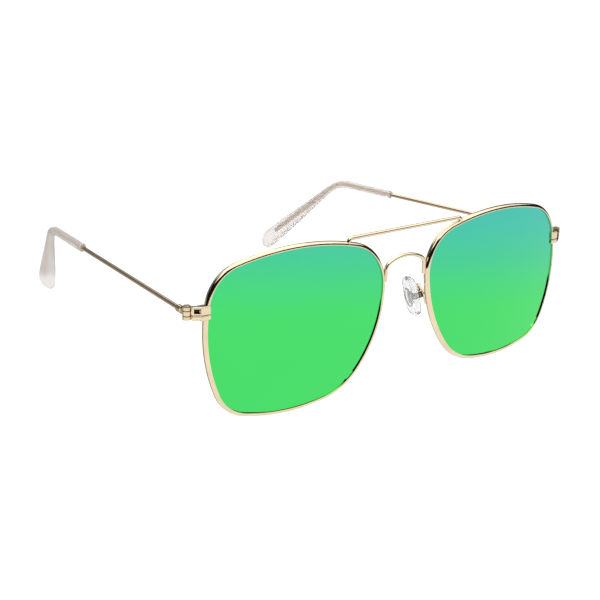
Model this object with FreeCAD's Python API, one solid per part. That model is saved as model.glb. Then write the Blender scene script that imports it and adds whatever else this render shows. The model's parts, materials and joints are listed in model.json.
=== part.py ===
import FreeCAD, Part
import math
import os
from FreeCAD import Matrix, Placement, Rotation, Vector

# Metal sunglasses with squared aviator lenses and a double bridge, temples open.
# Millimetres and degrees. +X is the wearer's left, +Y runs back towards the ears, +Z is up.
# Everything is drawn for the wearer's left with z = 0 at the middle of the lenses and y = 0 at
# their front, mirrored for the right, then moved to stand on z = 0, centred.

# ---- lenses ----
lens_width = 57.0            # seen inside the rim
lens_height = 46.5
lens_thickness = 1.0
lens_curve = 240.0           # radius of the front surface
lens_gap = 17.8              # between the two visible lenses
wrap_angle = 4.0             # how far each lens turns back towards its temple

# Each corner of the lens: side, end, how far the arc's centre lies in from the side and
# from the end, and the arc's radius. The order is round the lens, starting top outer.
lens_corners = [
    (1, 1, 12.7, 14.1, 12.1),
    (-1, 1, 12.9, 14.9, 12.9),
    (-1, -1, 23.2, 19.6, 18.7),
    (1, -1, 14.3, 12.8, 11.6),
]
lens_side_radii = [74.0, 39.0, 62.0, 46.0]    # top, nose side, bottom, temple side

# ---- rims ----
rim_width = 1.05             # from the visible lens out to the edge of the rim
rim_before_lens = 0.4
rim_behind_lens = 0.2
rim_crown = 0.92             # rounding of the outer edge at the front
rim_rounding = 0.4           # and at the back
groove_depth = 0.5           # how far the lens edge sits in the rim
lens_clearance = 0.03
rim_slit = 0.16              # the rim is split here to let the lens in

# ---- the two bridges ----
bar_diameter = 1.15
bar_span = 42.6              # between the feet of the top bar
bar_height = 23.5
bar_depth = 0.6              # behind the front of the lenses
bar_bend = 1.3
arch_diameter = 1.1
arch_height = 15.35          # middle of the lower bridge
arch_radius = 13.0
arch_shoulder = 2.4          # radius where the arch turns down into its legs
arch_depth = 0.45
arch_foot_height = 8.6
solder_gap = 0.02            # between pieces that are soldered face to face

# ---- end pieces and closing blocks ----
hinge_height = 9.5
hinge_out = 3.9              # hinge pin beyond the outer edge of the rim
hinge_back = 1.35            # hinge pin behind the back of the rim there
block_height = 3.9           # end piece and closing block together
closing_block_height = 1.35
block_proud = 0.5            # in front of the rim
block_overlap = 1.9          # over the face of the rim
block_nose = 0.9             # rounding of the inner end
block_bend = 1.5             # rounding where the strap turns back
block_edge = 0.25
strap_sweep = 33.0           # the strap turns back by this much towards the hinge
strap_end_gap = 0.12         # between the strap's end and the barrel
strap_end_rounding = 0.3
recess_width = 1.9
recess_height = 1.3
recess_depth = 0.75
closing_screw_radius = 0.4
closing_head_radius = 0.65
closing_head_height = 0.4
closing_screw_length = 2.9
closing_screw_out = 1.15     # beyond the outer edge of the rim

# ---- hinges ----
barrel_radius = 1.2
barrel_height = 3.6
middle_knuckle = 1.4
knuckle_clearance = 0.05
pin_radius = 0.45
running_clearance = 0.05
pin_head_radius = 0.9
pin_head_height = 0.3
slot_width = 0.25
slot_depth = 0.2
leaf_thickness = 0.4
leaf_length = 2.6
leaf_notch = 2.1             # from the pin, open for the turning knuckle
web_width = 1.5
wire_seat = 0.5              # from the front of the socket to the end of the wire
socket_radius = 1.05
socket_start = 2.7           # from the pin
socket_length = 2.2

# ---- temples ----
wire_diameter = 1.3
temple_splay = 5.8           # inwards
temple_droop = 1.5
temple_length = 101.8        # pin to the corner of the bend
temple_bend = 14.0
tip_start = 74.3             # pin to the front end of the clear tip
tip_inward = 15.3            # direction of the part behind the ear
tip_backward = 48.0
tip_diameter = 2.65
tip_width = 7.5
tip_thickness = 4.2
tip_sections = 8
tip_flare = 1.6              # above 1, the tip keeps its tube's width for longer
tip_twist = 10.0
tip_forward = 0.8           # the paddle's middle stands this far in front of the wire
core_width = 2.0
core_thickness = 0.8
core_change = 6.0            # over this length below the bend the wire turns from round to flat
core_margin = 8.5            # clear plastic past the end of the wire
core_clearance = 0.05

# ---- nose pads ----
pad_out = 8.0                # middle of the pad from the middle of the glasses
pad_back = 5.8
pad_height = -0.3
pad_lean = 14.0              # tops towards each other
pad_toe = 12.0               # back edges apart
pad_width = 7.0
pad_length = 13.0
pad_thickness = 2.2
pad_rounding = 0.9
pad_corners = [
    (1, 1, 2.9, 2.9, 2.7),
    (-1, 1, 2.9, 2.9, 2.7),
    (-1, -1, 3.2, 3.4, 3.1),
    (1, -1, 3.2, 3.4, 3.1),
]
pad_side_radii = [6.0, 30.0, 6.0, 30.0]
pad_pivot = 2.2              # screw outwards from the middle of the pad
core_plate = (2.4, 0.6, 4.4)  # width, thickness and length
core_slot = (1.44, 0.5)      # width and height of its two slots
core_slot_height = 0.88      # of each slot from the middle of the plate
eye_radius = 0.85
eye_width = 0.8
pad_screw_radius = 0.35
pad_screw_head = 0.65
pad_screw_head_height = 0.35
box_size = (2.4, 2.2)        # along the screw, along the pad
box_start = 1.5
box_back_wall = 0.5
box_rounding = 0.3
arm_diameter = 0.9
arm_foot_low = -1.6          # the arm is soldered to the rim between these heights
arm_foot_high = 1.9
arm_bend = 0.9
arm_rise = 2.7               # above the box

# ---- worked out from the sizes above ----
eye_x = (lens_gap + lens_width) / 2
rim_depth_behind = lens_thickness + rim_behind_lens
wide = 60.0                  # longer than anything that a cutter has to pass


def rounded_outline(width, height, corners, side_radii, grow=0.0):
    """Closed wire in the XZ plane: four corner arcs joined by four tangent side arcs."""
    centres = []
    for side, end, inset_x, inset_z, radius in corners:
        centres.append(Vector(side * (width / 2 - inset_x), 0, end * (height / 2 - inset_z)))
    radii = [corner[4] for corner in corners]
    side_centres = []
    for i in range(4):
        here, there = centres[i], centres[(i + 1) % 4]
        a, b = side_radii[i] - radii[i], side_radii[i] - radii[(i + 1) % 4]
        gap = (there - here).Length
        along = (there - here) / gap
        reach = (a * a - b * b + gap * gap) / (2 * gap)
        inwards = Vector(-along.z, 0, along.x)
        side_centres.append(here + along * reach + inwards * math.sqrt(a * a - reach * reach))
    edges = []
    for i in range(4):
        before, after = side_centres[i - 1], side_centres[i]
        following = centres[(i + 1) % 4]
        edges.append(arc_between(centres[i], radii[i] + grow, centres[i] - before, centres[i] - after))
        edges.append(arc_between(after, side_radii[i] + grow, centres[i] - after, following - after))
    return Part.Wire(edges)


def arc_between(centre, radius, start, end):
    """The short arc about a centre from one direction to another."""
    start = Vector(start).normalize()
    end = Vector(end).normalize()
    middle = (start + end).normalize()
    points = [centre + direction * radius for direction in (start, middle, end)]
    return Part.Arc(*points).toShape()


def lens_outline(grow):
    return rounded_outline(lens_width, lens_height, lens_corners, lens_side_radii, grow)


def lens_prism(grow):
    """The lens outline, grown by some amount and drawn out from front to back."""
    face = Part.Face(lens_outline(grow))
    face.translate(Vector(0, -wide / 2, 0))
    return face.extrude(Vector(0, wide, 0))


def lens_ball(forward):
    """The ball whose surface is the front of the lens, moved forward."""
    return Part.makeSphere(lens_curve + forward, Vector(0, lens_curve, 0))


def curved_slab(forward, back):
    return lens_ball(forward).cut(lens_ball(-back))


def in_place(shape):
    """From the lens's own axes to the glasses."""
    shape = shape.copy()
    shape.rotate(Vector(0, 0, 0), Vector(0, 0, 1), wrap_angle)
    shape.translate(Vector(eye_x, 0, 0))
    return shape


def outline_reach(height, grow, side):
    """How far the outline reaches to one side at a height, in the lens's own axes."""
    line = Part.makeLine(Vector(-wide, 0, height), Vector(wide, 0, height))
    box = Part.Face(lens_outline(grow)).common(line).BoundBox
    return box.XMax if side > 0 else box.XMin


def lens_point(across, height, back):
    """A point of the glasses that lies behind the lens front at a place on the lens."""
    drop = lens_curve - math.sqrt(lens_curve**2 - across**2 - height**2)
    point = Vector(across, drop + back, height)
    return Rotation(Vector(0, 0, 1), wrap_angle).multVec(point) + Vector(eye_x, 0, 0)


def cylinder(radius, start, end):
    return Part.makeCylinder(radius, (end - start).Length, start, end - start)


def box_between(low, high):
    return Part.makeBox(high.x - low.x, high.y - low.y, high.z - low.z, low)


def edges_along(shape, direction):
    """Straight edges that run along a direction."""
    chosen = []
    for edge in shape.Edges:
        if isinstance(edge.Curve, Part.Line) and edge.Curve.Direction.cross(direction).Length < 1e-6:
            chosen.append(edge)
    return chosen


def rounded_path(points, radius):
    """Straight runs through the points, joined by tangent arcs."""
    edges = []
    last = points[0]
    for i in range(1, len(points) - 1):
        back = (points[i - 1] - points[i]).normalize()
        onward = (points[i + 1] - points[i]).normalize()
        half = back.getAngle(onward) / 2
        trim = radius / math.tan(half)
        centre = points[i] + (back + onward).normalize() * (radius / math.sin(half))
        start = points[i] + back * trim
        end = points[i] + onward * trim
        edges.append(Part.makeLine(last, start))
        edges.append(arc_between(centre, radius, start - centre, end - centre))
        last = end
    edges.append(Part.makeLine(last, points[-1]))
    return Part.Wire(edges)


def wire_along(path, diameter):
    """Round wire that follows a path."""
    first = path.OrderedEdges[0]
    start = first.valueAt(first.FirstParameter)
    along = first.tangentAt(first.FirstParameter)
    ring = Part.Wire([Part.Circle(start, along, diameter / 2).toShape()])
    return path.makePipeShell([ring], True, False)


def screw(start, end, radius, head_radius, head_height):
    """Screw from the tip to under its head, with a slotted head beyond."""
    along = (end - start).normalize()
    top = end + along * head_height
    body = cylinder(radius, start, end).fuse(cylinder(head_radius, end, top)).removeSplitter()
    slot = Part.makeBox(4 * head_radius, slot_width, 2 * slot_depth)
    slot.translate(Vector(-2 * head_radius, -slot_width / 2, -slot_depth))
    slot.Placement = Placement(top, Rotation(Vector(0, 0, 1), along)).multiply(slot.Placement)
    return body.cut(slot)


# ---- front ----
def make_lens():
    return in_place(lens_prism(groove_depth - lens_clearance).common(curved_slab(0, lens_thickness)))


def edges_between(shape, nearest, furthest):
    """Edges whose ends all lie within two distances of the middle of the lens's ball."""
    centre = Vector(0, lens_curve, 0)
    chosen = []
    for edge in shape.Edges:
        reach = [vertex.Point.distanceToPoint(centre) for vertex in edge.Vertexes]
        before_centre = all(vertex.Y < lens_curve for vertex in edge.Vertexes)
        if before_centre and nearest < min(reach) and max(reach) < furthest:
            chosen.append(edge)
    return chosen


def crowned(solid, gap):
    """Round the front outer edge of a rim over, with a gap outside the rim."""
    return solid.makeFillet(rim_crown + gap, edges_between(solid, lens_curve, wide + lens_curve))


def make_rim():
    rim = crowned(lens_prism(rim_width).common(curved_slab(rim_before_lens, rim_depth_behind)), 0)
    rim = rim.makeFillet(rim_rounding, edges_between(rim, 0, lens_curve - lens_thickness))
    rim = rim.cut(lens_prism(0))
    groove = lens_prism(groove_depth)
    rim = rim.cut(groove.common(curved_slab(lens_clearance, lens_thickness + lens_clearance)))
    slit = box_between(Vector(0, -wide, slit_height - rim_slit / 2),
                       Vector(wide, wide, slit_height + rim_slit / 2))
    return in_place(rim.cut(slit))


def space_of_rim(gap):
    """Everything inside the rim's outer edge and behind its front, with a gap all round."""
    inside = lens_prism(rim_width + gap).common(lens_ball(rim_before_lens + gap))
    return in_place(crowned(inside, gap))


def make_top_bar():
    foot = bar_span / 2
    low = bar_height - 2 * bar_diameter
    points = [Vector(-foot, bar_depth, low), Vector(-foot, bar_depth, bar_height)]
    points += [Vector(foot, bar_depth, bar_height), Vector(foot, bar_depth, low)]
    bar = wire_along(rounded_path(points, bar_bend), bar_diameter)
    return on_both_rims(bar)


def make_lower_bridge():
    leg = lens_point(outline_reach(hinge_height, rim_width, -1), hinge_height, 0).x - arch_diameter / 2
    leg += solder_gap
    arch_centre = Vector(0, arch_depth, arch_height - arch_radius)
    shoulder_x = leg - arch_shoulder
    rise = math.sqrt((arch_radius - arch_shoulder)**2 - shoulder_x**2)
    shoulder = Vector(shoulder_x, arch_depth, arch_centre.z + rise)
    outwards = (shoulder - arch_centre).normalize()
    left = Vector(leg, arch_depth, arch_foot_height)
    right = Vector(-leg, arch_depth, arch_foot_height)
    other_shoulder = Vector(-shoulder.x, shoulder.y, shoulder.z)
    other_outwards = Vector(-outwards.x, 0, outwards.z)
    path = Part.Wire([
        Part.makeLine(left, Vector(leg, arch_depth, shoulder.z)),
        arc_between(shoulder, arch_shoulder, Vector(1, 0, 0), outwards),
        arc_between(arch_centre, arch_radius, outwards, other_outwards),
        arc_between(other_shoulder, arch_shoulder, other_outwards, Vector(-1, 0, 0)),
        Part.makeLine(Vector(-leg, arch_depth, shoulder.z), right),
    ])
    return on_both_rims(wire_along(path, arch_diameter))


def on_both_rims(piece):
    """Fit a piece's feet against both rims and keep what lies outside them."""
    inside = space_of_rim(solder_gap)
    for side in (inside, mirrored(inside)):
        piece = piece.cut(side)
    return max(piece.Solids, key=lambda solid: solid.Volume)


# The places of the blocks and the hinge follow the rim's outer edge at the hinge's height.
rim_edge = lens_point(outline_reach(hinge_height, rim_width, 1), hinge_height, 0)
pin = Vector(rim_edge.x + hinge_out, rim_edge.y + rim_depth_behind + hinge_back, hinge_height)
block_low = hinge_height - block_height / 2
block_top = hinge_height + block_height / 2
slit_height = block_low + closing_block_height + rim_slit / 2
block_front = rim_edge.y - rim_before_lens - block_proud
block_rear = rim_edge.y + rim_depth_behind - solder_gap
block_inner = rim_edge.x - block_overlap
screw_x = rim_edge.x + closing_screw_out
screw_y = (block_front + block_rear) / 2
strap_along = Rotation(Vector(0, 0, 1), strap_sweep).multVec(Vector(1, 0, 0))
strap_forward = Rotation(Vector(0, 0, 1), strap_sweep).multVec(Vector(0, -1, 0))


def beside_pin(along_strap, forward, height=0.0):
    """A point given from the hinge pin along the strap, in front of it and up."""
    return pin + strap_along * along_strap + strap_forward * forward + Vector(0, 0, height)


def strap_meets(forward, y):
    """Where a line along the strap crosses a depth."""
    start = beside_pin(0, forward)
    return start + strap_along * ((y - start.y) / strap_along.y)


def make_block(low, high):
    """Block over the face of the rim, with a strap that sweeps back to the hinge."""
    end = -barrel_radius - strap_end_gap
    turn = strap_meets(barrel_radius, block_front)
    tip = beside_pin(end, barrel_radius)
    nose = Vector(block_inner, block_front, 0)
    corners = [nose, turn, tip, beside_pin(end, solder_gap), strap_meets(solder_gap, block_rear),
               Vector(block_inner, block_rear, 0)]
    for point in corners:
        point.z = low
    body = Part.Face(Part.makePolygon(corners + [corners[0]])).extrude(Vector(0, 0, high - low))
    for place, radius in ((nose, block_nose), (turn, block_bend), (tip, strap_end_rounding)):
        body = body.makeFillet(radius, upright_at(body, place))
    eased = [edge for edge in body.Edges
             if edge.BoundBox.ZLength < 1e-6 and faces_forward(edge)]
    body = body.makeFillet(block_edge, eased)
    return body.cut(space_of_rim(solder_gap))


def upright_at(body, place):
    """The upright edge that stands nearest to a place."""
    upright = edges_along(body, Vector(0, 0, 1))
    return [min(upright, key=lambda edge: math.hypot(edge.Vertexes[0].X - place.x,
                                                     edge.Vertexes[0].Y - place.y))]


def faces_forward(edge):
    """True for an edge on the front of a block, from its nose to the end of its strap."""
    middle = edge.CenterOfMass
    behind_front = middle.y - block_front
    from_strap = (middle - pin).dot(strap_forward) - barrel_radius
    return behind_front < block_nose / 2 or abs(from_strap) < strap_end_rounding


def closing_hole(top):
    return cylinder(closing_screw_radius + solder_gap, Vector(screw_x, screw_y, 0),
                    Vector(screw_x, screw_y, top))


def make_end_piece():
    body = make_block(slit_height + rim_slit / 2, block_top)
    middle = (strap_meets(barrel_radius, block_front) + beside_pin(-barrel_radius, barrel_radius)) / 2
    recess = Part.makeBox(recess_width, 2 * recess_depth, recess_height)
    recess.translate(Vector(-recess_width / 2, -recess_depth, -recess_height / 2))
    centre = Vector(middle.x, middle.y, (slit_height + block_top) / 2)
    recess.Placement = Placement(centre, Rotation(Vector(0, 0, 1), strap_sweep)).multiply(recess.Placement)
    screw_top = block_low + closing_screw_length + running_clearance
    return body.cut(recess).cut(closing_hole(screw_top))


def make_closing_block():
    body = make_block(block_low, slit_height - rim_slit / 2)
    sink = cylinder(closing_head_radius + running_clearance, Vector(screw_x, screw_y, 0),
                    Vector(screw_x, screw_y, block_low + closing_head_height))
    return body.cut(closing_hole(wide)).cut(sink)


def make_closing_screw():
    head = Vector(screw_x, screw_y, block_low + closing_head_height)
    tip = Vector(screw_x, screw_y, block_low + closing_screw_length)
    return screw(tip, head, closing_screw_radius, closing_head_radius, closing_head_height)


# ---- hinge ----
def strap_box(start, end, rear, front, low, high):
    """Box square to the strap, from the pin: along it, in front of it and up."""
    body = Part.makeBox(end - start, front - rear, high - low)
    body.translate(Vector(start, -front, low))
    body.Placement = Placement(pin, Rotation(Vector(0, 0, 1), strap_sweep)).multiply(body.Placement)
    return body


def make_hinge_front():
    """Leaf soldered to the back of the strap, with an upper and a lower knuckle."""
    half = barrel_height / 2
    inner = middle_knuckle / 2 + knuckle_clearance
    body = strap_box(-leaf_length, 0, -leaf_thickness, 0, -half, half)
    body = body.cut(strap_box(-leaf_notch, wide, -wide, wide, -inner, inner))
    for low, high in ((-half, -inner), (inner, half)):
        knuckle = cylinder(barrel_radius, pin + Vector(0, 0, low), pin + Vector(0, 0, high))
        body = body.fuse(knuckle)
    bore = cylinder(pin_radius + solder_gap, pin - Vector(0, 0, half), pin + Vector(0, 0, half))
    return body.removeSplitter().cut(bore)


def make_hinge_screw():
    half = Vector(0, 0, barrel_height / 2)
    return screw(pin - half, pin + half, pin_radius, pin_head_radius, pin_head_height)


def temple_axes():
    """Direction of the temple, and of the part behind the ear."""
    splay, droop = math.radians(temple_splay), math.radians(temple_droop)
    inward, backward = math.radians(tip_inward), math.radians(tip_backward)
    along = Vector(-math.sin(splay) * math.cos(droop), math.cos(splay) * math.cos(droop),
                   -math.sin(droop))
    down = Vector(-math.sin(inward), math.sin(backward) * math.cos(inward),
                  -math.cos(inward) * math.cos(backward))
    return along, down


along, down = temple_axes()
corner = pin + along * temple_length
table = -lens_height / 2 - rim_width


def make_hinge_temple():
    """Middle knuckle, with a web back to the socket that holds the temple wire."""
    half = Vector(0, 0, middle_knuckle / 2)
    body = cylinder(barrel_radius, pin - half, pin + half)
    web = Part.makeBox(web_width, socket_start + wire_seat, middle_knuckle)
    web.translate(Vector(-web_width / 2, 0, -middle_knuckle / 2))
    web.Placement = Placement(pin, Rotation(Vector(0, 0, 1), temple_splay)).multiply(web.Placement)
    socket = cylinder(socket_radius, pin + along * socket_start,
                      pin + along * (socket_start + socket_length))
    body = body.fuse(web).fuse(socket).removeSplitter()
    bore = cylinder(pin_radius + running_clearance, pin - half * 2, pin + half * 2)
    seat = cylinder(wire_diameter / 2 + solder_gap, pin + along * wire_start, pin + along * wide)
    return body.cut(bore).cut(seat)


# The wire starts inside its socket.
wire_start = socket_start + wire_seat
bend_trim = temple_bend * math.tan(along.getAngle(down) / 2)
bend_start = corner - along * bend_trim
bend_end = corner + down * bend_trim
leg_across = along.cross(down).normalize()


def leg_frame():
    """Width and thickness directions of the part behind the ear."""
    turn = Rotation(down, tip_twist)
    return turn.multVec(leg_across.cross(down).normalize()), turn.multVec(leg_across)


leg_wide, leg_thick = leg_frame()
cap_length = tip_width / 2
paddle_shift = leg_across.cross(down).normalize() * tip_forward
cap_drop = math.hypot(leg_wide.z * tip_width / 2, leg_thick.z * tip_thickness / 2, down.z * cap_length)
leg_length = (bend_end.z + paddle_shift.z - table - cap_drop) / -down.z + cap_length


def stretched(shape, centre, width, thickness, length):
    """A unit shape about Z, stretched to a width, thickness and length along the leg."""
    w = leg_wide * (width / 2)
    t = leg_thick * (thickness / 2)
    d = down * length
    return shape.transformGeometry(Matrix(w.x, t.x, d.x, centre.x,
                                          w.y, t.y, d.y, centre.y,
                                          w.z, t.z, d.z, centre.z,
                                          0, 0, 0, 1))


def oval(at, width, thickness, shift=0.0):
    """Oval section of the leg, at a distance below the bend, moved by a part of the paddle's shift."""
    ring = Part.Circle().toShape()
    centre = bend_end + down * at + paddle_shift * shift
    return Part.Wire([stretched(ring, centre, width, thickness, 1)])


def bend_arc():
    inside = (down - along).normalize()
    centre = corner + inside * (temple_bend / math.cos(along.getAngle(down) / 2))
    return Part.Wire([arc_between(centre, temple_bend, bend_start - centre, bend_end - centre)])


def bent_bar(start, diameter, leg):
    """Round bar from a distance along the temple and round the bend, joined to a leg."""
    straight = cylinder(diameter / 2, pin + along * start, bend_start)
    return straight.fuse(wire_along(bend_arc(), diameter)).fuse(leg).removeSplitter()


def make_temple(grow=0.0, start=wire_start):
    """Temple wire, flattened where it runs down inside the tip."""
    size = wire_diameter + 2 * grow
    flat = (core_width + 2 * grow, core_thickness + 2 * grow)
    end = leg_length - core_margin + grow
    leg = Part.makeLoft([oval(0, size, size), oval(core_change, *flat), oval(end, *flat)], True, True)
    return bent_bar(start, size, leg)


def make_temple_tip():
    """Clear tip: a tube that widens behind the ear into a round-ended paddle."""
    full = leg_length - cap_length
    sections = []
    for i in range(tip_sections + 1):
        part = i / tip_sections
        spread = math.sin(part * math.pi / 2) ** tip_flare
        width = tip_diameter + (tip_width - tip_diameter) * spread
        thickness = tip_diameter + (tip_thickness - tip_diameter) * part
        sections.append(oval(full * part, width, thickness, spread))
    leg = Part.makeLoft(sections, True, False)
    half_ball = Part.makeSphere(1, Vector(0, 0, 0), Vector(0, 0, 1), 0, 90, 360)
    cap = stretched(half_ball, bend_end + down * full + paddle_shift, tip_width, tip_thickness, cap_length)
    tip = bent_bar(tip_start, tip_diameter, leg.fuse(cap))
    return tip.cut(make_temple(core_clearance, tip_start - 1))


# ---- nose pads ----
# A pad is drawn flat: X towards the front, Y outwards from the nose, Z up the pad.
pad_middle = Vector(pad_out, pad_back, pad_height)
pad_turn = Rotation(Vector(0, 0, 1), -pad_toe)
pad_turn = pad_turn.multiply(Rotation(Vector(0, 1, 0), -pad_lean))
pad_turn = pad_turn.multiply(Rotation(Vector(0, 0, 1), -90))
pivot = Vector(0, pad_pivot, 0)
box_end = pad_pivot + eye_radius + running_clearance * 2 + box_back_wall


def on_pad(shape):
    shape = shape.copy()
    shape.Placement = Placement(pad_middle, pad_turn).multiply(shape.Placement)
    return shape


def pad_point(x, y, z):
    return pad_turn.multVec(Vector(x, y, z)) + pad_middle


def make_pad_core():
    """Metal insert: a slotted plate in the pad, with an eye for the screw."""
    across, thick, tall = core_plate
    body = box_between(Vector(-across / 2, -thick / 2, -tall / 2), Vector(across / 2, thick / 2, tall / 2))
    body = body.makeFillet(across / 4, edges_along(body, Vector(0, 1, 0)))
    slot_across, slot_tall = core_slot
    for height in (-core_slot_height, core_slot_height):
        slot = Part.makeBox(slot_across, wide, slot_tall)
        slot.translate(Vector(-slot_across / 2, -wide / 2, height - slot_tall / 2))
        body = body.cut(slot)
    stem = box_between(Vector(-eye_width / 2, 0, -eye_radius), Vector(eye_width / 2, pad_pivot, eye_radius))
    half = Vector(eye_width / 2, 0, 0)
    body = body.fuse(stem).fuse(cylinder(eye_radius, pivot - half, pivot + half)).removeSplitter()
    return body.cut(cylinder(pad_screw_radius + running_clearance, pivot - half * 2, pivot + half * 2))


def make_nose_pad():
    outline = rounded_outline(pad_width, pad_length, pad_corners, pad_side_radii)
    face = Part.Face(outline)
    face.translate(Vector(0, -pad_thickness / 2, 0))
    pad = face.extrude(Vector(0, pad_thickness, 0))
    across = [edge for edge in pad.Edges if not edges_along(edge, Vector(0, 1, 0))]
    return pad.makeFillet(pad_rounding, across).cut(make_pad_core())


def make_pad_box():
    """Cup that holds the eye between two cheeks."""
    length, height = box_size
    body = box_between(Vector(-length / 2, box_start, -height / 2), Vector(length / 2, box_end, height / 2))
    eased = edges_along(body, Vector(1, 0, 0)) + edges_along(body, Vector(0, 1, 0))
    body = body.makeFillet(box_rounding, eased)
    gap = eye_width / 2 + running_clearance
    slot = box_between(Vector(-gap, 0, -height), Vector(gap, box_end - box_back_wall, height))
    hole = cylinder(pad_screw_radius + solder_gap, pivot - Vector(length, 0, 0), pivot + Vector(length, 0, 0))
    return body.cut(slot).cut(hole)


def make_pad_screw():
    half = Vector(box_size[0] / 2, 0, 0)
    return screw(pivot - half, pivot + half, pad_screw_radius, pad_screw_head, pad_screw_head_height)


def make_pad_arm():
    """Wire from the back of the rim, back over the top of the pad's box and down to it."""
    behind = rim_depth_behind + arm_diameter / 2 + solder_gap
    foot = [lens_point(outline_reach(height, rim_width / 2, -1), height, behind)
            for height in (arm_foot_low, arm_foot_high)]
    box_middle = (box_start + box_end) / 2
    top = box_size[1] / 2 + solder_gap
    over = pad_point(0, box_middle, top + arm_rise)
    return wire_along(rounded_path(foot + [over, pad_point(0, box_middle, top)], arm_bend), arm_diameter)


# ---- assembly ----
def mirrored(shape):
    return shape.mirror(Vector(0, 0, 0), Vector(1, 0, 0))


centre_pieces = {
    "top_bar": make_top_bar,
    "lower_bridge": make_lower_bridge,
}
paired_pieces = {
    "rim": make_rim,
    "lens": make_lens,
    "end_piece": make_end_piece,
    "closing_block": make_closing_block,
    "closing_screw": make_closing_screw,
    "hinge_front": make_hinge_front,
    "hinge_screw": make_hinge_screw,
    "hinge_temple": make_hinge_temple,
    "temple": make_temple,
    "temple_tip": make_temple_tip,
    "pad_arm": make_pad_arm,
    "pad_box": lambda: on_pad(make_pad_box()),
    "pad_screw": lambda: on_pad(make_pad_screw()),
    "pad_core": lambda: on_pad(make_pad_core()),
    "nose_pad": lambda: on_pad(make_nose_pad()),
}

pieces = {name: make() for name, make in centre_pieces.items()}
for name, make in paired_pieces.items():
    piece = make()
    pieces[name + "_left"] = piece
    pieces[name + "_right"] = mirrored(piece)

# Stand the glasses on z = 0 with the middle of their box over the origin.
boxes = [shape.optimalBoundingBox(False, False) for shape in pieces.values()]
lowest = min(box.ZMin for box in boxes)
front = min(box.YMin for box in boxes)
back = max(box.YMax for box in boxes)
stand = Vector(0, -(front + back) / 2, -lowest)

os.makedirs("parts", exist_ok=True)
for name, shape in pieces.items():
    shape.translate(stand)
    shape.exportStep(os.path.join("parts", name + ".step"))

print("lowest point of each rim", min(boxes[2].ZMin, boxes[3].ZMin), "and of all", lowest)
print("hinge pin at", pin + stand)
print("nose pad pivot at", pad_point(0, pad_pivot, 0) + stand, "along", pad_turn.multVec(Vector(-1, 0, 0)))
for (name, shape), box in zip(pieces.items(), boxes):
    print(name, len(shape.Solids), round(shape.Volume, 2), shape.isValid(),
          [round(v, 2) for v in (box.XMin, box.YMin, box.ZMin, box.XMax, box.YMax, box.ZMax)])
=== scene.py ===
"""Aviator sunglasses with green mirrored lenses, standing open on a white studio table."""
import json
import math

import bmesh
import bpy
from mathutils import Matrix, Vector


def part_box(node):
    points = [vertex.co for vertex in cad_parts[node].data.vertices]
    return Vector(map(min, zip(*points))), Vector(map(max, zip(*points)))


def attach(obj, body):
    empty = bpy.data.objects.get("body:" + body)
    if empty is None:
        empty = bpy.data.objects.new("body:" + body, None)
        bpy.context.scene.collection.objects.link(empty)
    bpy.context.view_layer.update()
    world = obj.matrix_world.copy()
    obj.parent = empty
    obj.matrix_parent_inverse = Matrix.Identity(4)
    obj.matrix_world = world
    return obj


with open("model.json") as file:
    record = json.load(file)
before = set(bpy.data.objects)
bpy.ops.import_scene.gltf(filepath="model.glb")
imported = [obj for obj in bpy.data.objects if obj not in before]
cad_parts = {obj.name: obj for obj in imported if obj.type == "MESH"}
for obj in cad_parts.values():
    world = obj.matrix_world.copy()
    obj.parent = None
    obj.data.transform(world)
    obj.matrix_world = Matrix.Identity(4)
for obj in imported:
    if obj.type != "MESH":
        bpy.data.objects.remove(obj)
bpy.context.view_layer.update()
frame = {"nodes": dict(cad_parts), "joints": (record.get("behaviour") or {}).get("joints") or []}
nodes = frame["nodes"]
SIDES = ("left", "right")
MM = 0.001
LEFTWARD, BACKWARD, UPWARD = Vector((1, 0, 0)), Vector((0, 1, 0)), Vector((0, 0, 1))


def joint_place(name):
    """Where the axis of a joint stands."""
    return Vector(next(joint for joint in frame["joints"] if joint["name"] == name)["pos_m"])


# ---- where the glasses are ----
lens_low, lens_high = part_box("lens_left")
EYE_HEIGHT = (lens_low.z + lens_high.z) / 2
LENS_HALF_HEIGHT = (lens_high.z - lens_low.z) / 2
LENS_FRONT = lens_low.y
STRAP_SWEEP = math.radians(33)                  # of the end piece's strap towards the back
RECESS_WIDTH, RECESS_HEIGHT = 1.9 * MM, 1.3 * MM
BARREL_RADIUS = 1.2 * MM                        # of the hinge knuckles
SEAM_HEIGHT = 0.72 * MM                         # of each seam, up or down from the middle of the hinge
PAINTED_SEAM_SHADE_WIDTH = 0.16 * MM                        # of the painted shade line, each way from a seam

# ---- how fine the surface effects are, in waves per metre ----
PLATING_CLOUDS, PLATING_SMEARS, PLATING_MARKS, PLATING_SPECKS = 160, 420, 1900, 2600
MOULDING_CLOUDS, MOULDING_MARKS = 240, 700
COATING_RIPPLE, COATING_DRIFT, SMOKE_CLOUDS, COATING_SMEARS = 45, 60, 70, 110
SCREW_RINGS = 1100
TABLE_GRAIN = 90

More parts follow.
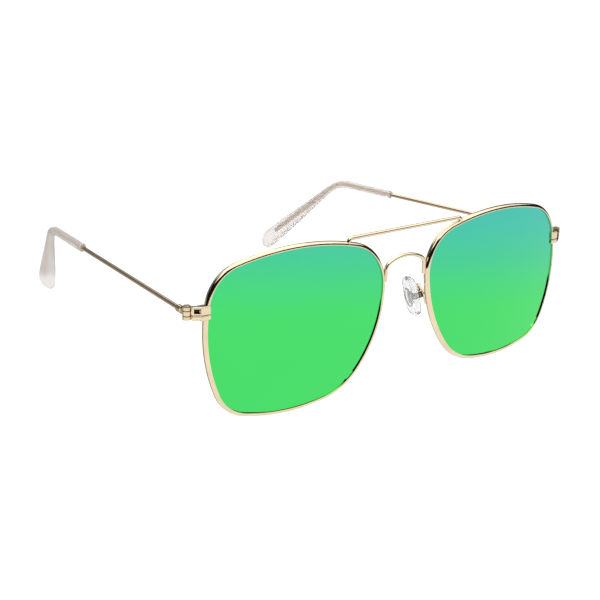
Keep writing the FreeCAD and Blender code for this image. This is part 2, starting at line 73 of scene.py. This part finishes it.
# ---- colours ----
WHITE = (1, 1, 1)
PALE_GOLD, PALE_GOLD_DEEP = (0.88, 0.75, 0.53), (0.80, 0.66, 0.44)
WARM_GOLD, WARM_GOLD_DEEP = (0.85, 0.71, 0.48), (0.68, 0.53, 0.33)
ROSE_GOLD, ROSE_GOLD_DEEP = (0.80, 0.61, 0.41), (0.68, 0.50, 0.32)
SCREW_GOLD, SCREW_GOLD_DEEP = (0.80, 0.70, 0.54), (0.46, 0.37, 0.26)
STEEL, STEEL_DEEP = (0.86, 0.84, 0.82), (0.62, 0.60, 0.58)
# painted shade for the recess in the end piece's strap
PAINTED_RECESS_SHADE = (0.03, 0.015, 0.01)
# painted shade for the seams between the hinge knuckles
PAINTED_SEAM_SHADE = (0.10, 0.055, 0.025)
SMOKE, SMOKE_PALE = (0.020, 0.030, 0.026), (0.032, 0.044, 0.038)
TIP_TINT, TIP_CLOUD = (0.93, 0.895, 0.865), (0.90, 0.875, 0.855)
PAD_TINT, PAD_CLOUD = (0.96, 0.96, 0.96), (0.92, 0.925, 0.93)
RIDGE_TINT, RIDGE_CLOUD = (0.80, 0.81, 0.83), (0.70, 0.71, 0.73)
TABLE_GREY, TABLE_GREY_PALE = (0.29, 0.29, 0.29), (0.31, 0.31, 0.31)


# ---- node helpers ----
def new_material(name):
    """Material with a Principled shader, ready for its nodes."""
    material = bpy.data.materials.new(name)
    material.use_nodes = True
    return material


def principled(material):
    return material.node_tree.nodes["Principled BSDF"]


def feed(material, output, socket):
    """Link an output to one of the shader's sockets."""
    material.node_tree.links.new(output, principled(material).inputs[socket])


def settle(material, socket, value):
    """Give one of the shader's sockets a uniform value."""
    principled(material).inputs[socket].default_value = value


def object_coordinates(tree):
    return tree.nodes.new("ShaderNodeTexCoord").outputs["Object"]


def split_up(tree, vector):
    """The three parts of a vector."""
    node = tree.nodes.new("ShaderNodeSeparateXYZ")
    tree.links.new(vector, node.inputs[0])
    return node.outputs


def noise(tree, coordinates, waves, detail, roughness=0.5):
    """Noise over the object, from 0 to 1."""
    node = tree.nodes.new("ShaderNodeTexNoise")
    node.inputs["Scale"].default_value = waves
    node.inputs["Detail"].default_value = detail
    node.inputs["Roughness"].default_value = roughness
    tree.links.new(coordinates, node.inputs["Vector"])
    return node.outputs["Fac"]


def remap(tree, value, low, high, to_low, to_high):
    """Value taken from one range to another, and held at its ends."""
    node = tree.nodes.new("ShaderNodeMapRange")
    tree.links.new(value, node.inputs["Value"])
    for name, number in zip(("From Min", "From Max", "To Min", "To Max"), (low, high, to_low, to_high)):
        node.inputs[name].default_value = number
    return node.outputs["Result"]


def arithmetic(tree, operation, *values):
    """Result of one operation on one to three values, each a number or a socket."""
    node = tree.nodes.new("ShaderNodeMath")
    node.operation = operation
    for socket, value in zip(node.inputs, values):
        if isinstance(value, bpy.types.NodeSocket):
            tree.links.new(value, socket)
        else:
            socket.default_value = value
    return node.outputs[0]


def mix_colours(tree, factor, first, second):
    """Mix of two colours, each a plain colour or a socket."""
    node = tree.nodes.new("ShaderNodeMix")
    node.data_type = "RGBA"
    tree.links.new(factor, node.inputs["Factor"])
    for socket, colour in ((node.inputs[6], first), (node.inputs[7], second)):
        if isinstance(colour, bpy.types.NodeSocket):
            tree.links.new(colour, socket)
        else:
            socket.default_value = (*colour, 1)
    return node.outputs[2]


def colour_ramp(tree, value, wanted):
    """Ramp with stops of (position, colour)."""
    ramp = tree.nodes.new("ShaderNodeValToRGB")
    tree.links.new(value, ramp.inputs[0])
    stops = ramp.color_ramp.elements
    while len(stops) < len(wanted):
        stops.new(0.5)
    for stop, (position, colour) in zip(stops, wanted):
        stop.position = position
        stop.color = (*colour, 1)
    return ramp.outputs["Color"]


def distance_along(tree, place, start, axis):
    """How far a place lies from a start along an axis."""
    node = tree.nodes.new("ShaderNodeVectorMath")
    node.operation = "DOT_PRODUCT"
    node.inputs[1].default_value = axis
    tree.links.new(place, node.inputs[0])
    return arithmetic(tree, "SUBTRACT", node.outputs["Value"], start.dot(axis))


def distance_from(tree, place, start, axis):
    """The same without its sign."""
    return arithmetic(tree, "ABSOLUTE", distance_along(tree, place, start, axis))


def group_tree(name, inputs, outputs):
    """Empty node group; each input is (name, kind, value), each output (name, kind)."""
    tree = bpy.data.node_groups.new(name, "ShaderNodeTree")
    for label, kind, value in inputs:
        socket = tree.interface.new_socket(label, in_out="INPUT", socket_type=kind)
        socket.default_value = value
    for label, kind in outputs:
        tree.interface.new_socket(label, in_out="OUTPUT", socket_type=kind)
    return tree, tree.nodes.new("NodeGroupInput").outputs, tree.nodes.new("NodeGroupOutput").inputs


def use_group(material, group, **values):
    """Put a group in a material, with its colour and roughness fed to the shader."""
    node = material.node_tree.nodes.new("ShaderNodeGroup")
    node.node_tree = group
    for name, value in values.items():
        node.inputs[name].default_value = value
    feed(material, node.outputs["Colour"], "Base Color")
    feed(material, node.outputs["Roughness"], "Roughness")
    return node.outputs


def bump_from(material, height, distance, strength):
    node = material.node_tree.nodes.new("ShaderNodeBump")
    node.inputs["Distance"].default_value = distance
    node.inputs["Strength"].default_value = strength
    material.node_tree.links.new(height, node.inputs["Height"])
    feed(material, node.outputs["Normal"], "Normal")


# ---- effects that several materials share ----
def make_plating():
    """Metal plating: cloudy colour, dark specks, handling smears and fine polishing marks."""
    tree, given, made = group_tree(
        "plating",
        [("Bright", "NodeSocketColor", (1, 1, 1, 1)), ("Deep", "NodeSocketColor", (0.5, 0.5, 0.5, 1)),
         ("Gloss", "NodeSocketFloat", 0.12), ("Smears", "NodeSocketFloat", 0.1)],
        [("Colour", "NodeSocketColor"), ("Roughness", "NodeSocketFloat"), ("Height", "NodeSocketFloat")])
    place = object_coordinates(tree)
    clouds = remap(tree, noise(tree, place, PLATING_CLOUDS, 4), 0.35, 0.68, 0, 1)
    specks = remap(tree, noise(tree, place, PLATING_SPECKS, 2), 0.66, 0.74, 0, 1)
    clouded = mix_colours(tree, clouds, given["Bright"], given["Deep"])
    tree.links.new(mix_colours(tree, specks, clouded, given["Deep"]), made["Colour"])
    smears = remap(tree, noise(tree, place, PLATING_SMEARS, 5, 0.62), 0.4, 0.7, 0, 1)
    rough = arithmetic(tree, "MULTIPLY_ADD", smears, given["Smears"], given["Gloss"])
    tree.links.new(rough, made["Roughness"])
    tree.links.new(noise(tree, place, PLATING_MARKS, 3), made["Height"])
    return tree


MARK_ROUGHNESS = 0.03     # what a finger mark adds on clear plastic


def make_moulding():
    """Clear moulded plastic: faint flow clouds and finger marks."""
    tree, given, made = group_tree(
        "moulding",
        [("Tint", "NodeSocketColor", (1, 1, 1, 1)), ("Cloud", "NodeSocketColor", (1, 1, 1, 1)),
         ("Gloss", "NodeSocketFloat", 0.08)],
        [("Colour", "NodeSocketColor"), ("Roughness", "NodeSocketFloat")])
    place = object_coordinates(tree)
    flow = remap(tree, noise(tree, place, MOULDING_CLOUDS, 3), 0.38, 0.66, 0, 1)
    tree.links.new(mix_colours(tree, flow, given["Tint"], given["Cloud"]), made["Colour"])
    marks = remap(tree, noise(tree, place, MOULDING_MARKS, 5, 0.6), 0.5, 0.75, 0, 1)
    rough = arithmetic(tree, "MULTIPLY_ADD", marks, MARK_ROUGHNESS, given["Gloss"])
    tree.links.new(rough, made["Roughness"])
    return tree


PLATING = make_plating()
MOULDING = make_moulding()


# ---- metal ----
def plated_metal(name, bright, deep, gloss, smears):
    material = new_material(name)
    plating = use_group(material, PLATING, Bright=(*bright, 1), Deep=(*deep, 1), Gloss=gloss, Smears=smears)
    settle(material, "Metallic", 1.0)
    bump_from(material, plating["Height"], 0.004 * MM, 0.25)
    return material


def on_left_side(tree):
    """Object coordinates with the wearer's right side folded over onto the left."""
    across, back, rise = split_up(tree, object_coordinates(tree))
    place = tree.nodes.new("ShaderNodeCombineXYZ")
    tree.links.new(arithmetic(tree, "ABSOLUTE", across), place.inputs["X"])
    tree.links.new(back, place.inputs["Y"])
    tree.links.new(rise, place.inputs["Z"])
    return place.outputs[0]


def paint_shade(material, painted_shade_mask, colour):
    """Lay painted shade, a dark colour, over the plating where the mask is 1."""
    plating = principled(material).inputs["Base Color"].links[0].from_socket
    feed(material, mix_colours(material.node_tree, painted_shade_mask, plating, colour), "Base Color")


def end_piece_plating_and_recess_shade():
    """Pale plating with painted shade, a dark colour, down in the recess of the strap."""
    material = plated_metal("end piece plating and recess shade", PALE_GOLD, PALE_GOLD_DEEP, gloss=0.04, smears=0.04)
    tree = material.node_tree
    low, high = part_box("end_piece_left")
    along = Vector((math.cos(STRAP_SWEEP), math.sin(STRAP_SWEEP), 0))
    forward = Vector((math.sin(STRAP_SWEEP), -math.cos(STRAP_SWEEP), 0))
    tip = joint_place("temple_fold_left") + (forward - along) * BARREL_RADIUS
    turn = tip - along * ((tip.y - low.y) / along.y)
    middle = (turn + tip) / 2
    middle.z = (low.z + high.z) / 2
    place = on_left_side(tree)
    painted_shade_mask = remap(tree, distance_along(tree, place, middle, -forward), 0.06 * MM, 0.2 * MM, 0, 1)
    for axis, reach in ((along, RECESS_WIDTH / 2), (UPWARD, RECESS_HEIGHT / 2)):
        aside = distance_from(tree, place, middle, axis)
        inside = remap(tree, aside, reach * 1.02, reach * 1.08, 1, 0)
        painted_shade_mask = arithmetic(tree, "MULTIPLY", painted_shade_mask, inside)
    # painted shade: the recess of the strap is darkened in the colour
    paint_shade(material, painted_shade_mask, PAINTED_RECESS_SHADE)
    return material


def hinge_plating_and_seam_shade():
    """Warmer plating with a painted shade line where the knuckles meet."""
    material = plated_metal("hinge plating and seam shade", WARM_GOLD, WARM_GOLD_DEEP, gloss=0.06, smears=0.08)
    tree = material.node_tree
    pin = joint_place("temple_fold_left")
    place = on_left_side(tree)
    from_middle = distance_from(tree, place, pin, UPWARD)
    from_seam = arithmetic(tree, "ABSOLUTE", arithmetic(tree, "SUBTRACT", from_middle, SEAM_HEIGHT))
    painted_shade_mask = remap(tree, from_seam, PAINTED_SEAM_SHADE_WIDTH * 0.6, PAINTED_SEAM_SHADE_WIDTH, 1, 0)
    for axis in (LEFTWARD, BACKWARD):
        aside = distance_from(tree, place, pin, axis)
        near_pin = remap(tree, aside, BARREL_RADIUS * 1.02, BARREL_RADIUS * 1.1, 1, 0)
        painted_shade_mask = arithmetic(tree, "MULTIPLY", painted_shade_mask, near_pin)
    # painted shade: a dark line in the seams between the knuckles
    paint_shade(material, painted_shade_mask, PAINTED_SEAM_SHADE)
    return material


def turned_screw():
    """Small golden screws with fine turning rings from the lathe."""
    material = new_material("turned screw")
    tree = material.node_tree
    use_group(material, PLATING, Bright=(*SCREW_GOLD, 1), Deep=(*SCREW_GOLD_DEEP, 1), Gloss=0.2, Smears=0.2)
    settle(material, "Metallic", 1.0)
    rings = tree.nodes.new("ShaderNodeTexWave")
    rings.bands_direction = "Z"
    rings.inputs["Scale"].default_value = SCREW_RINGS
    rings.inputs["Distortion"].default_value = 0.5
    tree.links.new(object_coordinates(tree), rings.inputs["Vector"])
    bump_from(material, rings.outputs["Fac"], 0.01 * MM, 0.3)
    return material


# ---- lenses ----
# Colour of the coating from the bottom of the lens, 0, to its top, 1.
LENS_COLOURS = [
    (0.00, (0.061, 0.730, 0.138)),
    (0.25, (0.061, 0.735, 0.146)),
    (0.33, (0.063, 0.730, 0.156)),
    (0.50, (0.062, 0.690, 0.218)),
    (0.66, (0.062, 0.622, 0.312)),
    (0.85, (0.064, 0.570, 0.415)),
    (1.00, (0.062, 0.545, 0.450)),
]
PAINTED_VIEW_HUE_SLANT = 3.2             # painted hue shift for the lenses' viewing angles: how far up the colours a metre to the wearer's left moves
PAINTED_VIEW_HUE_SLANT_START = 48 * MM   # how far to the left the slant adds nothing
COLOUR_DRIFT = 0.02


def coating_colour(tree, place):
    """Blue-green at the top to grass green below, with a painted slant across the pair that stands in for
    the mirror's hue shift at each lens's viewing angle.
    """
    across, _, rise = split_up(tree, place)
    start = -PAINTED_VIEW_HUE_SLANT * PAINTED_VIEW_HUE_SLANT_START
    bottom, top = EYE_HEIGHT - LENS_HALF_HEIGHT, EYE_HEIGHT + LENS_HALF_HEIGHT
    height = remap(tree, rise, bottom, top, start, 1 + start)
    # painted reflection colour: the slant shifts the hue across the pair as the viewing angle would
    height_and_painted_slant = arithmetic(tree, "MULTIPLY_ADD", across, PAINTED_VIEW_HUE_SLANT, height)
    drift = noise(tree, place, COATING_DRIFT, 2)
    return colour_ramp(tree, arithmetic(tree, "MULTIPLY_ADD", drift, COLOUR_DRIFT, height_and_painted_slant), LENS_COLOURS)


def mirror_coating():
    """Mirror coating on the front of a lens; the wearer's side is dark smoke."""
    material = new_material("mirror coating")
    tree = material.node_tree
    place = object_coordinates(tree)
    normal = tree.nodes.new("ShaderNodeNewGeometry").outputs["Normal"]
    wearer_side = remap(tree, split_up(tree, normal)["Y"], -0.2, 0.2, 0, 1)
    smoke = mix_colours(tree, noise(tree, place, SMOKE_CLOUDS, 3), SMOKE, SMOKE_PALE)
    feed(material, mix_colours(tree, wearer_side, coating_colour(tree, place), smoke), "Base Color")
    smears = noise(tree, place, COATING_SMEARS, 6, 0.6)
    feed(material, remap(tree, smears, 0.45, 0.8, 0.05, 0.12), "Roughness")
    feed(material, arithmetic(tree, "SUBTRACT", 1, wearer_side), "Metallic")
    settle(material, "Coat Weight", 0.25)
    settle(material, "Coat Roughness", 0.03)
    bump_from(material, noise(tree, place, COATING_RIPPLE, 2), 0.004 * MM, 0.15)
    return material


# ---- clear plastic ----
def clear_moulding(name, tint, cloud, gloss, transmission, ior, coat):
    material = new_material(name)
    use_group(material, MOULDING, Tint=(*tint, 1), Cloud=(*cloud, 1), Gloss=gloss)
    settle(material, "Transmission Weight", transmission)
    settle(material, "IOR", ior)
    settle(material, "Coat Weight", coat)
    return material


# ---- what each piece is made of ----
materials = {
    "pale_gold": plated_metal("pale gold plating", PALE_GOLD, PALE_GOLD_DEEP, gloss=0.04, smears=0.04),
    "end_gold_and_recess_shade": end_piece_plating_and_recess_shade(),
    "wire_gold": plated_metal("temple wire plating", ROSE_GOLD, ROSE_GOLD_DEEP, gloss=0.08, smears=0.08),
    "hinge_gold_and_seam_shade": hinge_plating_and_seam_shade(),
    "box_gold": plated_metal("pad box plating", WARM_GOLD, WARM_GOLD_DEEP, gloss=0.06, smears=0.08),
    "core_steel": plated_metal("pad core steel", STEEL, STEEL_DEEP, gloss=0.3, smears=0.15),
    "screws": turned_screw(),
    "mirror": mirror_coating(),
    "clear_tip": clear_moulding("clear tip", TIP_TINT, TIP_CLOUD,
                                gloss=0.28, transmission=0.72, ior=1.3, coat=0.0),
    "clear_pad": clear_moulding("clear pad", PAD_TINT, PAD_CLOUD,
                                gloss=0.02, transmission=0.85, ior=1.3, coat=0.4),
    "pad_ridge": clear_moulding("pad ridge", RIDGE_TINT, RIDGE_CLOUD,
                                gloss=0.05, transmission=0.35, ior=1.35, coat=0.5),
}
MIDDLE_MATERIALS = {"top_bar": "pale_gold", "lower_bridge": "pale_gold"}
SIDE_MATERIALS = {
    "rim": "pale_gold", "lens": "mirror", "end_piece": "end_gold_and_recess_shade", "closing_block": "pale_gold",
    "closing_screw": "screws", "hinge_front": "hinge_gold_and_seam_shade", "hinge_screw": "screws",
    "hinge_temple": "hinge_gold_and_seam_shade", "temple": "wire_gold", "temple_tip": "clear_tip",
    "pad_arm": "pale_gold", "pad_box": "box_gold", "pad_screw": "screws",
    "pad_core": "core_steel", "nose_pad": "clear_pad",
}


def dress(name, material):
    mesh = nodes[name].data
    mesh.materials.clear()
    mesh.materials.append(materials[material])


for node_name, node_material in MIDDLE_MATERIALS.items():
    dress(node_name, node_material)
for stem, node_material in SIDE_MATERIALS.items():
    for node_side in SIDES:
        dress(f"{stem}_{node_side}", node_material)


# ---- nose pads: the moulded ridge round each insert ----
PAD_LEAN, PAD_TOE = math.radians(14), math.radians(12)
PAD_PIVOT_OUT = 2.2 * MM      # how far the screw stands out from the middle of the pad
PAD_HALF_THICKNESS = 1.1 * MM
RIDGE_WIDTH, RIDGE_HEIGHT = 3.8 * MM, 5.8 * MM
RIDGE_THICKNESS = 0.22 * MM   # radius of its round section at the sides
SECTION_SIDES, OVAL_STEPS = 12, 56
QUARTER_TURN = Matrix.Rotation(math.pi / 2, 4, "X")


def pad_axes(side):
    """Middle of a pad, with its across, outward and upward directions as a matrix."""
    outward = Vector((math.cos(PAD_LEAN) * math.cos(PAD_TOE), -math.cos(PAD_LEAN) * math.sin(PAD_TOE),
                      math.sin(PAD_LEAN)))
    upward = Vector((-math.sin(PAD_LEAN) * math.cos(PAD_TOE), math.sin(PAD_LEAN) * math.sin(PAD_TOE),
                     math.cos(PAD_LEAN)))
    if side == "right":
        outward.x, upward.x = -outward.x, -upward.x
    middle = joint_place(f"pad_rock_{side}") - outward * PAD_PIVOT_OUT
    return middle, Matrix((outward.cross(upward), outward, upward)).transposed()


def finish_piece(name, bm, material, body):
    """Turn a bmesh into a smooth piece of its body."""
    mesh = bpy.data.meshes.new(name)
    bmesh.ops.recalc_face_normals(bm, faces=bm.faces)
    for face in bm.faces:
        face.smooth = True
    bm.to_mesh(mesh)
    bm.free()
    mesh.materials.append(materials[material])
    piece = bpy.data.objects.new(name, mesh)
    bpy.context.scene.collection.objects.link(piece)
    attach(piece, body)


def pad_ring(side):
    """Oval ridge moulded on the nose face of a pad, over the edge of the insert."""
    bm = bmesh.new()
    upright = Matrix.Translation((1, 0, 0)) @ QUARTER_TURN
    thickness = RIDGE_THICKNESS / (RIDGE_WIDTH / 2)
    section = bmesh.ops.create_circle(bm, segments=SECTION_SIDES, radius=thickness, matrix=upright)
    edges = {edge for vert in section["verts"] for edge in vert.link_edges}
    bmesh.ops.spin(bm, geom=section["verts"] + list(edges), cent=(0, 0, 0), axis=(0, 0, 1),
                   angle=2 * math.pi, steps=OVAL_STEPS, use_merge=True)
    bmesh.ops.remove_doubles(bm, verts=bm.verts, dist=1e-5)
    middle, axes = pad_axes(side)
    size = Matrix.Diagonal((RIDGE_WIDTH / 2, RIDGE_WIDTH / 2, RIDGE_HEIGHT / 2, 1))
    place = Matrix.Translation(middle - axes.col[1] * PAD_HALF_THICKNESS)
    bmesh.ops.transform(bm, verts=bm.verts, matrix=place @ axes.to_4x4() @ size @ QUARTER_TURN)
    finish_piece(f"pad_ring_{side}", bm, "pad_ridge", f"{side}_pad")


for pad_side in SIDES:
    pad_ring(pad_side)


# ---- studio ----
TABLE_REACH = 6.0             # from the middle to each edge
TABLE_GLOW = 0.88


def studio_floor():
    """White table that runs far enough back to fill the view."""
    mesh = bpy.data.meshes.new("studio_floor")
    bm = bmesh.new()
    bmesh.ops.create_grid(bm, x_segments=1, y_segments=1, size=TABLE_REACH)
    bm.to_mesh(mesh)
    bm.free()
    floor = bpy.data.objects.new("studio_floor", mesh)
    bpy.context.scene.collection.objects.link(floor)
    material = new_material("white table")
    tree = material.node_tree
    grain = noise(tree, object_coordinates(tree), TABLE_GRAIN, 4)
    feed(material, mix_colours(tree, grain, TABLE_GREY, TABLE_GREY_PALE), "Base Color")
    settle(material, "Roughness", 0.9)
    settle(material, "Specular IOR Level", 0.1)
    settle(material, "Emission Color", (*WHITE, 1))
    settle(material, "Emission Strength", TABLE_GLOW)
    mesh.materials.append(material)
    floor.visible_glossy = False


# Bands of the room seen in the polished metal: the sine of the elevation, and how bright it is.
FRONT_BANDS = [(-1.0, 1.0), (-0.11, 1.0), (-0.05, 0.008), (0.37, 0.008), (0.46, 1.3), (1.0, 1.5)]
BACK_BANDS = [
    (-1.0, 0.9), (-0.80, 0.8), (-0.60, 0.42), (0.0, 0.36), (0.12, 0.12),
    (0.26, 0.12), (0.36, 0.22), (0.58, 0.12), (0.66, 1.3), (1.0, 1.5),
]
BACK_START, BACK_FULL = 0.45, 0.60       # where the darker back of the room begins, along Y
BACK_LEAN = 0.45                         # and how much sooner it begins to the wearer's left
SCREEN_START, SCREEN_FULL = 0.80, 0.90   # a black screen closes the back there, along X
SCREEN_BLACK = (0.01, 0.01, 0.01)
RIGHT_RISE = 0.42                        # the dark band reaches higher to the wearer's right
RIGHT_START, RIGHT_FULL = 0.1, -0.35     # between these places along X
BAND_MIDDLE = 0.2                        # the rise moves only what lies above this


def wall(tree, sine, bands):
    """Grey wall with its bands of brightness, by the sine of the elevation."""
    stops = [((place + 1) / 2, (bright, bright, bright)) for place, bright in bands]
    return colour_ramp(tree, remap(tree, sine, -1, 1, 0, 1), stops)


def studio_room():
    """Soft white room whose dark bands draw dark lines along bright wires; itself seen as white."""
    world = bpy.data.worlds.new("studio room")
    bpy.context.scene.world = world
    world.use_nodes = True
    tree = world.node_tree
    across, back, rise = split_up(tree, tree.nodes.new("ShaderNodeTexCoord").outputs["Generated"])
    taller = remap(tree, across, RIGHT_START, RIGHT_FULL, 0, RIGHT_RISE)
    lowered = arithmetic(tree, "SUBTRACT", rise, taller)
    level = arithmetic(tree, "MAXIMUM", lowered, arithmetic(tree, "MINIMUM", rise, BAND_MIDDLE))
    screen = remap(tree, across, SCREEN_START, SCREEN_FULL, 0, 1)
    back_wall = mix_colours(tree, screen, wall(tree, rise, BACK_BANDS), SCREEN_BLACK)
    leaning = arithmetic(tree, "MULTIPLY", arithmetic(tree, "MAXIMUM", across, 0), BACK_LEAN)
    behind = remap(tree, arithmetic(tree, "ADD", back, leaning), BACK_START, BACK_FULL, 0, 1)
    seen_in_metal = mix_colours(tree, behind, wall(tree, level, FRONT_BANDS), back_wall)
    path = tree.nodes.new("ShaderNodeLightPath").outputs
    # Clear plastic looks out on white walls, however often the light turns inside it.
    seen_through = arithmetic(tree, "MAXIMUM", path["Is Camera Ray"], path["Transmission Depth"])
    background = tree.nodes["Background"]
    tree.links.new(mix_colours(tree, seen_through, seen_in_metal, WHITE), background.inputs["Color"])
    background.inputs["Strength"].default_value = 1.0


LIT_POINT = Vector((0, 0, 20 * MM))


def soft_light(name, place, width, height, power):
    """Large soft lamp that shines on the middle of the glasses."""
    data = bpy.data.lights.new(name, "AREA")
    data.shape = "RECTANGLE"
    data.size = width
    data.size_y = height
    data.energy = power
    lamp = bpy.data.objects.new(name, data)
    bpy.context.scene.collection.objects.link(lamp)
    turn = (LIT_POINT - Vector(place)).to_track_quat("-Z", "Y").to_matrix().to_4x4()
    lamp.matrix_world = Matrix.Translation(place) @ turn


# The camera looks down on the glasses from in front and from the wearer's right.
CAMERA_TURN = math.radians(-36.85)
CAMERA_RISE = math.radians(18.98)
CAMERA_ROLL = math.radians(1.17)
CAMERA_DISTANCE = 366.03 * MM
CAMERA_ACROSS = -30.46 * MM
CAMERA_UP = 1.59 * MM
FOCAL_LENGTH = 75.173
SENSOR = 36.0
LENS_LEAD = 0.58 * MM         # of the lens front before the point that the camera turns about
AIM_DROP = 0.03 * MM          # of that point below the middle of the lenses


def studio_camera():
    """Camera that turns about a point between the lenses, then moves in its own plane."""
    view = -Vector((math.sin(CAMERA_TURN) * math.cos(CAMERA_RISE),
                    -math.cos(CAMERA_TURN) * math.cos(CAMERA_RISE), math.sin(CAMERA_RISE)))
    level = view.cross(UPWARD).normalized()
    upward = level.cross(view)
    across = level * math.cos(CAMERA_ROLL) + upward * math.sin(CAMERA_ROLL)
    upright = upward * math.cos(CAMERA_ROLL) - level * math.sin(CAMERA_ROLL)
    between_lenses = Vector((0, LENS_FRONT + LENS_LEAD, EYE_HEIGHT - AIM_DROP))
    place = between_lenses - view * CAMERA_DISTANCE + across * CAMERA_ACROSS + upright * CAMERA_UP
    data = bpy.data.cameras.new("camera")
    data.sensor_width = SENSOR
    data.lens = FOCAL_LENGTH
    data.clip_start = 0.01
    camera = bpy.data.objects.new("camera", data)
    axes = Matrix((across, upright, -view)).transposed()
    camera.matrix_world = Matrix.Translation(place) @ axes.to_4x4()
    bpy.context.scene.collection.objects.link(camera)
    bpy.context.scene.camera = camera


studio_floor()
studio_room()
soft_light("key light", (-0.7, -0.5, 1.1), width=0.9, height=0.7, power=2.5)
soft_light("back light", (0.5, 1.1, 0.9), width=0.9, height=0.6, power=1.5)
studio_camera()
bpy.context.scene.view_settings.view_transform = "Standard"
